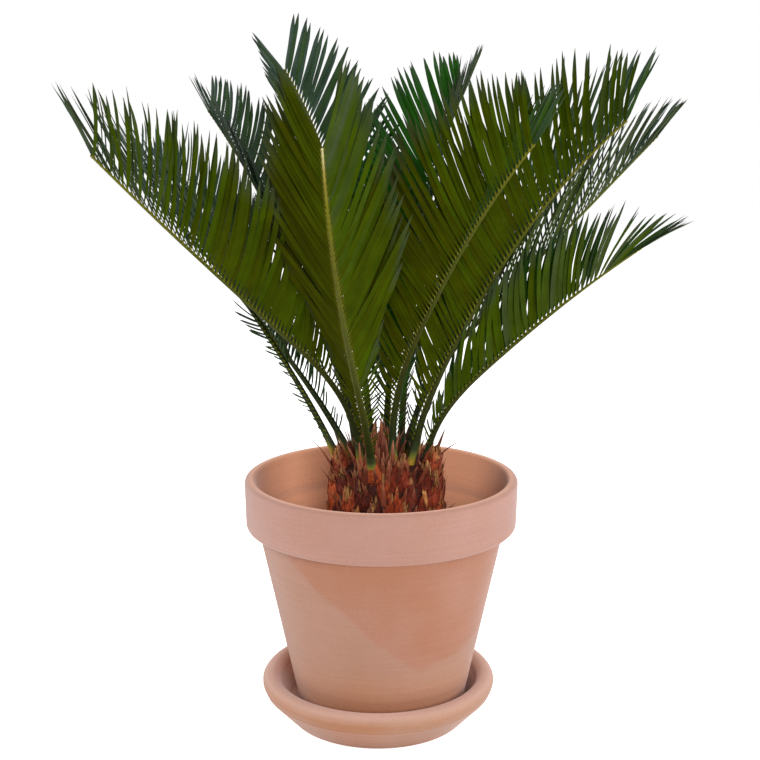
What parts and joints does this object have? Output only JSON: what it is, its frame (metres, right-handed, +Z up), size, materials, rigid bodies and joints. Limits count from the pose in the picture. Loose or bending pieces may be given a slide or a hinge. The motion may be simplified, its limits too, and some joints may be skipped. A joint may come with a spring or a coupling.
{
  "type": "potted sago palm",
  "caption": "Potted sago palm: arching feathery fronds over a short scaly trunk, in a rimmed terracotta pot that stands on a round saucer.",
  "frame": {"origin": "centre of the saucer's flat underside, on the surface that the plant stands on", "axes": "+Z up along the pot, -Y toward the front of the picture, +X to the right of the front"},
  "size_m": [0.5849, 0.5667, 0.6974],
  "materials": {
    "saucer_clay": "matte unglazed terracotta",
    "pot_clay": "matte unglazed terracotta",
    "soil": "crumbly potting soil of bark and peat",
    "bark": "rough scaly leaf bases",
    "bud": "woolly pointed scales",
    "leaf": "leathery satin leaflets"
  },
  "bodies": {
    "root": {"saucer": "saucer_clay", "pot": "pot_clay", "soil": "soil", "trunk": "bark", "bud": "bud", "frond_front": "leaf", "frond_front_left": "leaf", "frond_front_right": "leaf", "frond_right_front": "leaf", "frond_right_low": "leaf", "frond_right": "leaf", "frond_rear_right": "leaf", "frond_rear": "leaf", "frond_rear_left": "leaf", "frond_left_rear": "leaf", "frond_left": "leaf", "frond_back_low": "leaf", "frond_back_right_low": "leaf", "frond_back_left_low": "leaf"}
  },
  "joints": []
}
